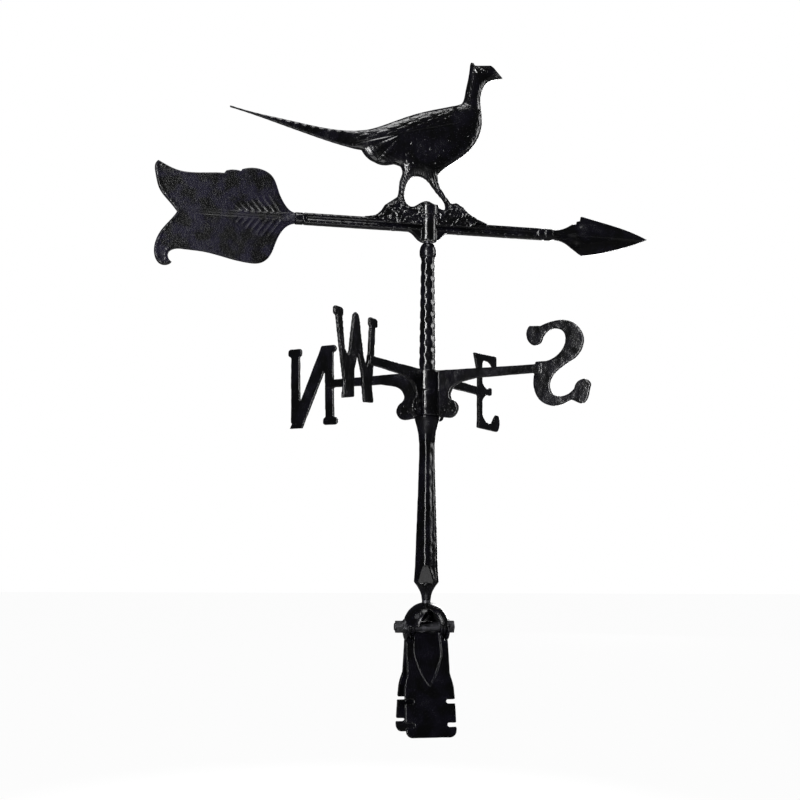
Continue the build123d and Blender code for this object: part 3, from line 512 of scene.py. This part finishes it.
# vent feathers spread like a fan from under the wing
root_x, root_z = -34, 668
fan = np.arctan2(root_z - z, -(x - root_x))
from_root = np.hypot(x - root_x, z - root_z)
vent = fade(-x, 34, 44) * (1 - fade(-x, 84, 96)) * (1 - fade(above, -3, 0)) * (1 - soil) * (1 - shank)
body += vent * (1.3 * np.abs(np.sin(fan * 7.5)) + 0.08 * np.sin(from_root * 1.6))
# tail: two long feathers, barred
tail = fade(-x, 88, 102)
bar_pitch = 9.5
bar_line = np.sin((x * 0.93 - z * 0.55) * 2 * math.pi / bar_pitch)
middle = z - (672.5 + (-x - 100) * 0.10)
body += tail * (0.15 * bar_line - 0.5 * np.exp(-(middle / 0.8) ** 2) * (1 - fade(-x, 170, 200)))
# neck: fine strokes and a collar line
body += neck * 0.14 * np.sin(x * 2.6 + 0.35 * z) * (1 - fade(z, 742, 748))
collar = z - (709 + (45 - x) * 0.35)
raised = 0.7 * np.exp(-(collar / 1.3) ** 2)
sunk = 0.5 * np.exp(-((collar + 2.6) / 1.2) ** 2)
body += raised * fade(x, 30, 36) - sunk * fade(x, 30, 36)
# head: eye in its bare patch, ear feathers, beak with its parting line and nostril
eye_x, eye_z = 64.5, 753.5
eye = np.hypot(x - eye_x, z - eye_z)
body += 0.8 * np.exp(-((eye - 3.0) / 0.9) ** 2) + 1.5 * np.exp(-(eye / 1.25) ** 2)
patch = np.exp(-(((x - 67) / 8.5) ** 2 + ((z - 751) / 6.0) ** 2) ** 2)
body += patch * (0.5 + 0.25 * unevenness(np.stack([x, x * 0, z], 1), 1.1, 60.0))
body += strokes(x, z, [(57, 750, 51.5, 761), (59, 752, 54, 760.5), (60.5, 757, 56, 761)], 0.9) * 0.7
body -= strokes(x, z, [(88, 748.3, 76, 750.2)], 0.7) * 0.8
body -= 0.5 * np.exp(-(((x - 80) / 1.6) ** 2 + ((z - 754.5) / 0.7) ** 2))
# legs: a sinew down each shank; ground: rough tufts and the toes
body += shank * (1 - soil) * 0.5 * np.sin(x * 2.4 + z * 0.9)
body += soil * (1.3 * unevenness(place, 0.0045, 70.0) + 0.8 * unevenness(place, 0.0018, 80.0))
hub_cap = np.sqrt(np.clip(12.2 ** 2 - x ** 2, 0, None))
body = np.where((z < 592) & (z > 576), np.maximum(body, hub_cap * fade(592 - z, 0, 5)), body)
body = np.maximum(body, np.where((z < arrow_z + 9) & (x > -60) & (x < 57), 6.6, 0.7))
body += 0.07 * unevenness(place, 0.0022, 90.0)
shape = np.sign(y) * np.minimum(np.abs(y) / 3.0, 1.0) * body
place[:, 1] = np.where(inside, y, shape) / 1000
write_skin(bird, place)
fit_piece(bird, "pheasant", "vane", cast_black)


# ---------------------------------------------------------------- floor, light and camera
# A pale floor, a white surround, soft boxes left, right, above and behind for the crisp streaks on the
# black coat, and the camera in front and to the left, a little below the letters.
def soft_box(name, spot, aim, width, height, power):
    lamp = bpy.data.lights.new(name, "AREA")
    lamp.shape = "RECTANGLE"
    lamp.size, lamp.size_y, lamp.energy = width, height, power
    holder = bpy.data.objects.new(name, lamp)
    holder.location = spot
    holder.rotation_euler = (Vector(aim) - Vector(spot)).to_track_quat("-Z", "Y").to_euler()
    bpy.context.scene.collection.objects.link(holder)


soft_box("left_front_box", (-1.25, -1.55, 0.75), (0, 0, 0.45), 0.16, 1.5, 32.0)
soft_box("right_side_box", (1.6, -0.4, 0.9), (0, 0, 0.45), 0.2, 1.2, 8.0)
soft_box("top_box", (-0.2, -0.5, 2.0), (0, 0, 0.5), 0.7, 0.5, 8.0)
soft_box("back_box", (0.9, 1.7, 0.8), (0, 0, 0.45), 0.3, 1.4, 14.0)

# a lamp from above lights the floor just in front of the feet, which the downward faces reflect
spot = bpy.data.lights.new("floor_lamp", "SPOT")
spot.energy = 300.0
spot.spot_size = math.radians(36)
spot.spot_blend = 0.6
spot_holder = bpy.data.objects.new("floor_lamp", spot)
spot_holder.location = (-0.16, -0.45, 1.0)
bpy.context.scene.collection.objects.link(spot_holder)

work = bmesh.new()
bmesh.ops.create_grid(work, x_segments=1, y_segments=1, size=6.0)
bmesh.ops.translate(work, verts=work.verts, vec=(0, 0, -0.0005))
floor_mesh = bpy.data.meshes.new("floor")
work.to_mesh(floor_mesh)
work.free()
floor = bpy.data.objects.new("floor", floor_mesh)
bpy.context.scene.collection.objects.link(floor)
pale = bpy.data.materials.new("pale_floor")
pale.use_nodes = True
pale.node_tree.nodes.clear()
ground = Shade(pale.node_tree, None)
lit = ground.node("ShaderNodeBsdfDiffuse", {}, {"Color": (0.22, 0.22, 0.22, 1.0)})
sweep = ground.node("ShaderNodeEmission", {}, {"Color": (1, 1, 1, 1), "Strength": 1.0})
seen = ground.node("ShaderNodeLightPath", {}, {}, "Is Camera Ray")
both = ground.node("ShaderNodeMixShader", {}, {0: seen * 0.97, 1: lit, 2: sweep})
out = pale.node_tree.nodes.new("ShaderNodeOutputMaterial")
pale.node_tree.links.new(both.socket, out.inputs["Surface"])
floor_mesh.materials.append(pale)

world = bpy.data.worlds.new("studio")
bpy.context.scene.world = world
world.use_nodes = True
tree = world.node_tree
tree.nodes.clear()
sky = Shade(tree, None)
seen = sky.node("ShaderNodeLightPath", {}, {}, "Is Camera Ray")
white = sky.node("ShaderNodeBackground", {}, {"Color": (1, 1, 1, 1), "Strength": 1.0})
dim = sky.node("ShaderNodeBackground", {}, {"Color": (0.93, 0.95, 1.0, 1), "Strength": 0.03})
both = sky.node("ShaderNodeMixShader", {}, {0: seen, 1: dim, 2: white})
out = tree.nodes.new("ShaderNodeOutputWorld")
tree.links.new(both.socket, out.inputs["Surface"])
bpy.context.scene.view_settings.view_transform = "Standard"

lens = bpy.data.cameras.new("camera")
lens.sensor_width = 36.0
lens.lens = 55.35
lens.clip_end = 50.0
camera = bpy.data.objects.new("camera", lens)
camera.location = (-0.3128, -1.3296, 0.1849)
forward, rise, roll = math.radians(11.96), math.radians(7.5), math.radians(0.46)
gaze = Vector((math.sin(forward) * math.cos(rise), math.cos(forward) * math.cos(rise), math.sin(rise)))
level = gaze.to_track_quat("-Z", "Y").to_matrix()
camera.rotation_euler = (level @ Matrix.Rotation(roll, 3, "Z")).to_euler()
bpy.context.scene.collection.objects.link(camera)
bpy.context.scene.camera = camera

bpy.context.view_layer.update()
